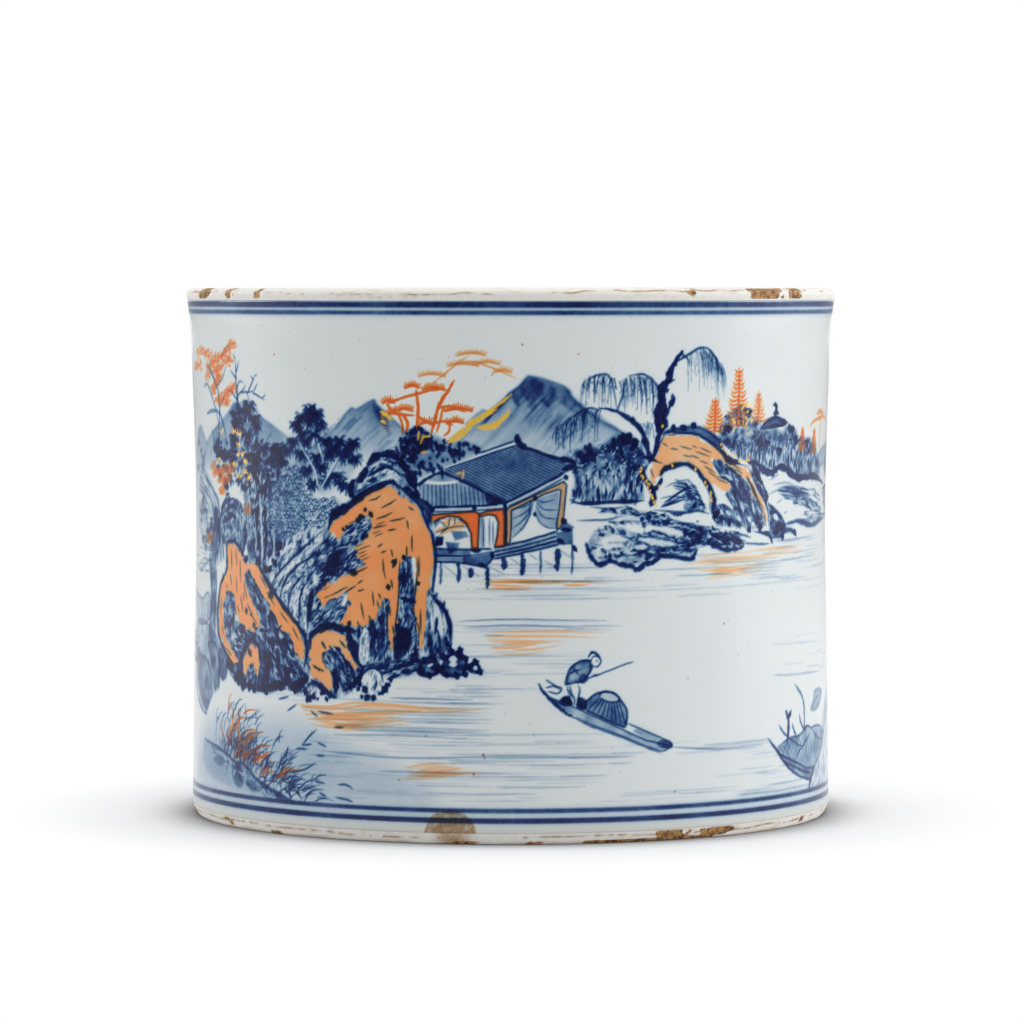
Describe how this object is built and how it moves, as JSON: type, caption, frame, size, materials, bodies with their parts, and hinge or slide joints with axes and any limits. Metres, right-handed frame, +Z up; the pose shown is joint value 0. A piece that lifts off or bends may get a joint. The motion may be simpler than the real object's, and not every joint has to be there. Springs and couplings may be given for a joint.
{
  "type": "brush pot",
  "caption": "Squat cylindrical porcelain brush pot with a drawn-in waist, rolled lip, ringed foot and painted river landscape.",
  "frame": {"origin": "centre of the circle on which the foot ring stands", "axes": "+Z up along the pot's axis; -Y is the side with the pavilion, as pictured"},
  "size_m": [0.184, 0.184, 0.149],
  "materials": {
    "porcelain_body": "bare fired porcelain, cream white, worn brown along its edges",
    "slab_body": "bare fired porcelain slab, cream",
    "painted_glaze": "clear gloss glaze, pale blue white, over underglaze painting",
    "lining_glaze": "clear gloss glaze, pale blue white",
    "base_glaze_finish": "clear gloss glaze under the base",
    "cobalt_blue": "cobalt brushwork under gloss glaze",
    "orange_wash": "thin iron-orange enamel wash, gloss",
    "iron_red": "iron-red enamel lines, satin",
    "gilt": "fired gilding in thin touches"
  },
  "bodies": {
    "root": {"wall": "porcelain_body", "base_slab": "slab_body", "outer_glaze": "painted_glaze", "inner_glaze": "lining_glaze", "base_glaze": "base_glaze_finish"}
  },
  "joints": []
}
